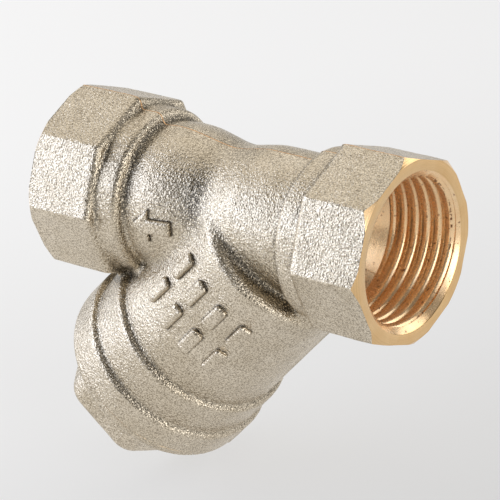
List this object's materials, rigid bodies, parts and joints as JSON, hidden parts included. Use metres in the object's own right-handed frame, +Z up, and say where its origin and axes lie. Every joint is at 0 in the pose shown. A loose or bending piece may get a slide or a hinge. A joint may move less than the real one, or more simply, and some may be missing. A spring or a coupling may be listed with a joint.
{
  "type": "y strainer",
  "caption": "Y-pattern pipe strainer with threaded octagonal ends and an angled branch whose screwed hexagon cap holds a perforated screen.",
  "frame": {"origin": "centre of the inlet end face, on the pipe axis", "axes": "+X out of the inlet mouth along the pipe axis, +Z up, the screen branch leans down and towards the outlet in the XZ plane"},
  "size_m": [0.0562, 0.028, 0.0523],
  "materials": {
    "plated_brass": "forged brass, shot blasted and nickel plated, bare brass where machined",
    "gasket": "flat sealing washer, matte black",
    "stainless": "stainless sheet, rolled and punched",
    "stainless_cloth": "woven stainless wire cloth"
  },
  "bodies": {
    "body": {"body": "plated_brass"},
    "screen": {"screen_top_ring": "stainless", "screen_bottom_ring": "stainless", "screen_perforated_tube": "stainless", "screen_mesh": "stainless_cloth"},
    "cap": {"cap": "plated_brass", "cap_gasket": "gasket"}
  },
  "joints": [
    {"name": "screen_travel", "type": "slide", "parent": "body", "child": "screen", "axis": [-0.7071, 0, -0.7071], "range_m": [0, 0.0075]},
    {"name": "cap_turn", "type": "hinge", "parent": "screen", "child": "cap", "pos_m": [-0.0168, 0, 0], "axis": [-0.7071, 0, -0.7071], "range_deg": [0, 1800]}
  ],
  "couplings": [
    {"joint": "screen_travel", "follows": "cap_turn", "m_per_rad": 0.00023873}
  ]
}
